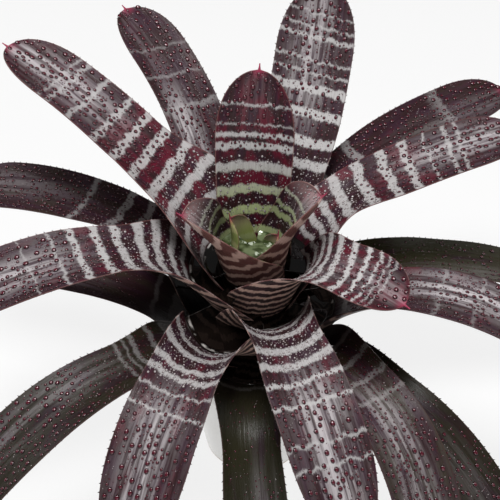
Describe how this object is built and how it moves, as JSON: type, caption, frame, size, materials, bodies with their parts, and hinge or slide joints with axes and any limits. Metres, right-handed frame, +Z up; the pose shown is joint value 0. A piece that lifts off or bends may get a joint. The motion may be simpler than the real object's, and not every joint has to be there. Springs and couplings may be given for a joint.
{
  "type": "potted bromeliad",
  "caption": "Tank bromeliad in a plain tapered pot: a rosette of arching, channelled strap leaves with pale cross bands round a water-holding cup",
  "frame": {"origin": "centre of the pot's underside", "axes": "+Z up along the pot's axis, -Y towards the side shown in the picture, +X to the right seen from there"},
  "size_m": [0.6457, 0.4817, 0.4067],
  "materials": {
    "pot_ceramic": "satin white glaze",
    "potting_mix": "dark, loose bark and peat",
    "stem_tissue": "matt, fibrous",
    "leaf_heart": "smooth, waxy green",
    "leaf_banded": "waxy, maroon with silvery cross bands",
    "leaf_older": "waxy, dark olive to maroon"
  },
  "bodies": {
    "root": {"pot": "pot_ceramic", "potting_mix": "potting_mix", "stem": "stem_tissue", "leaf_01": "leaf_heart", "leaf_02": "leaf_heart", "leaf_03": "leaf_banded", "leaf_04": "leaf_banded", "leaf_05": "leaf_banded", "leaf_06": "leaf_banded", "leaf_07": "leaf_banded", "leaf_08": "leaf_banded", "leaf_09": "leaf_banded", "leaf_10": "leaf_banded", "leaf_11": "leaf_banded", "leaf_12": "leaf_banded", "leaf_13": "leaf_older", "leaf_14": "leaf_older", "leaf_15": "leaf_older", "leaf_16": "leaf_older", "leaf_17": "leaf_older", "leaf_18": "leaf_older", "leaf_19": "leaf_older", "leaf_20": "leaf_older", "leaf_21": "leaf_older", "leaf_22": "leaf_older"}
  },
  "joints": []
}
